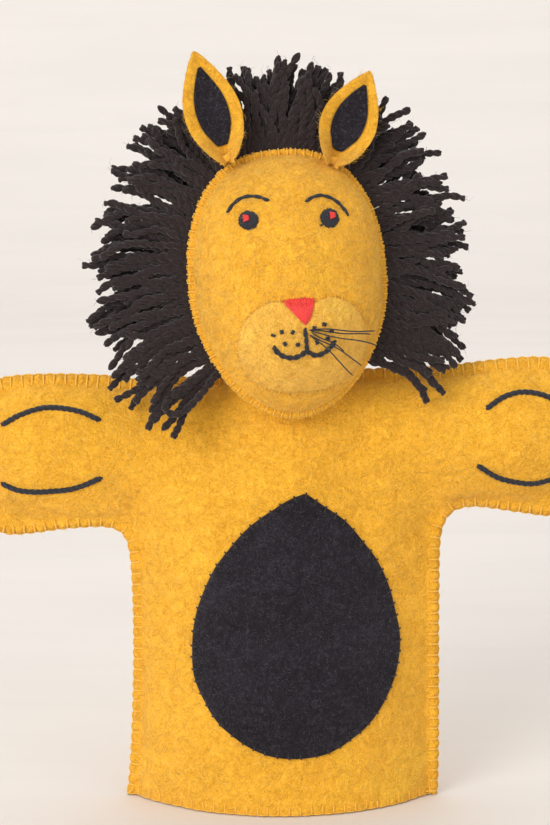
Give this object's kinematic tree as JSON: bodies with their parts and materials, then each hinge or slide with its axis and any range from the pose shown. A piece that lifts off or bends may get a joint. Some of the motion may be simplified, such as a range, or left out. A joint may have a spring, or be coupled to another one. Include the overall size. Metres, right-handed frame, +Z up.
{
  "type": "hand puppet",
  "caption": "Felt lion glove puppet with a stuffed head on a finger sleeve, a yarn mane, felt ears, an open hand cavity and two hollow paws.",
  "frame": {"origin": "bottom centre of the whole puppet, on the plane of the hem where it stands", "axes": "+Z up to the ears, -Y out of the face, +X to the viewer's right along the arms"},
  "size_m": [0.23, 0.0834, 0.2708],
  "materials": {
    "mustard_felt": "matt wool felt",
    "charcoal_felt": "matt wool felt",
    "mustard_thread": "stranded cotton thread",
    "black_thread": "stranded cotton thread",
    "red_thread": "satin-stitched cotton thread",
    "charcoal_thread": "stranded cotton thread",
    "wool_yarn": "soft two-ply wool yarn",
    "wool_fill": "loose wool fill"
  },
  "bodies": {
    "torso": {"torso_front_panel": "mustard_felt", "torso_back_panel": "mustard_felt", "tummy_patch": "charcoal_felt", "tummy_patch_stitches": "charcoal_thread", "left_side_stitches": "mustard_thread", "right_side_stitches": "mustard_thread", "left_shoulder_stitches": "mustard_thread", "right_shoulder_stitches": "mustard_thread", "front_hem_stitches": "mustard_thread", "back_hem_stitches": "mustard_thread"},
    "neck": {"neck_collar": "mustard_felt", "chin_tack": "mustard_thread"},
    "head": {"finger_sleeve": "mustard_felt", "sleeve_cap": "mustard_felt", "head_stuffing": "wool_fill", "face_panel": "mustard_felt", "nape_panel": "mustard_felt", "head_seam_stitches": "mustard_thread", "muzzle_patch": "mustard_felt", "muzzle_stitches": "mustard_thread", "nose": "red_thread", "mouth": "black_thread", "whisker_dots": "black_thread", "whiskers": "black_thread", "left_eye": "black_thread", "right_eye": "black_thread", "left_eye_glint": "red_thread", "right_eye_glint": "red_thread", "left_eyebrow": "black_thread", "right_eyebrow": "black_thread", "left_ear": "mustard_felt", "left_ear_lining": "charcoal_felt", "left_ear_tack": "mustard_thread", "right_ear": "mustard_felt", "right_ear_lining": "charcoal_felt", "right_ear_tack": "mustard_thread", "mane_front_row": "wool_yarn", "mane_middle_row": "wool_yarn", "mane_back_row": "wool_yarn", "mane_couching": "black_thread"},
    "left_arm": {"left_arm_front_panel": "mustard_felt", "left_arm_back_panel": "mustard_felt", "left_arm_stitches": "mustard_thread"},
    "left_paw": {"left_paw_front_panel": "mustard_felt", "left_paw_back_panel": "mustard_felt", "left_paw_stitches": "mustard_thread", "left_toe_lines": "black_thread"},
    "right_arm": {"right_arm_front_panel": "mustard_felt", "right_arm_back_panel": "mustard_felt", "right_arm_stitches": "mustard_thread"},
    "right_paw": {"right_paw_front_panel": "mustard_felt", "right_paw_back_panel": "mustard_felt", "right_paw_stitches": "mustard_thread", "right_toe_lines": "black_thread"}
  },
  "joints": [
    {"name": "head_turn", "type": "hinge", "parent": "torso", "child": "neck", "pos_m": [0, 0.01045, 0.139], "axis": [0, 0, 1], "range_deg": [-15, 15], "stiffness_Nm_per_rad": 0.5},
    {"name": "head_nod", "type": "hinge", "parent": "neck", "child": "head", "pos_m": [0.00561, -0.00973, 0.14674], "axis": [1, 0, 0], "range_deg": [-8, 25], "stiffness_Nm_per_rad": 1.2},
    {"name": "left_arm_lift", "type": "hinge", "parent": "torso", "child": "left_arm", "pos_m": [-0.06046, 0.01145, 0.12928], "axis": [0, 1, 0], "range_deg": [-15, 15], "stiffness_Nm_per_rad": 0.06},
    {"name": "left_paw_swing", "type": "hinge", "parent": "left_arm", "child": "left_paw", "pos_m": [-0.07345, 0.00345, 0.12881], "axis": [-0.0366, 0, 0.9993], "range_deg": [-10, 60], "stiffness_Nm_per_rad": 0.04},
    {"name": "right_arm_lift", "type": "hinge", "parent": "torso", "child": "right_arm", "pos_m": [0.06046, 0.01145, 0.13372], "axis": [0, -1, 0], "range_deg": [-15, 15], "stiffness_Nm_per_rad": 0.06},
    {"name": "right_paw_swing", "type": "hinge", "parent": "right_arm", "child": "right_paw", "pos_m": [0.07345, 0.00345, 0.13419], "axis": [0.0366, 0, -0.9993], "range_deg": [-10, 60], "stiffness_Nm_per_rad": 0.04}
  ]
}
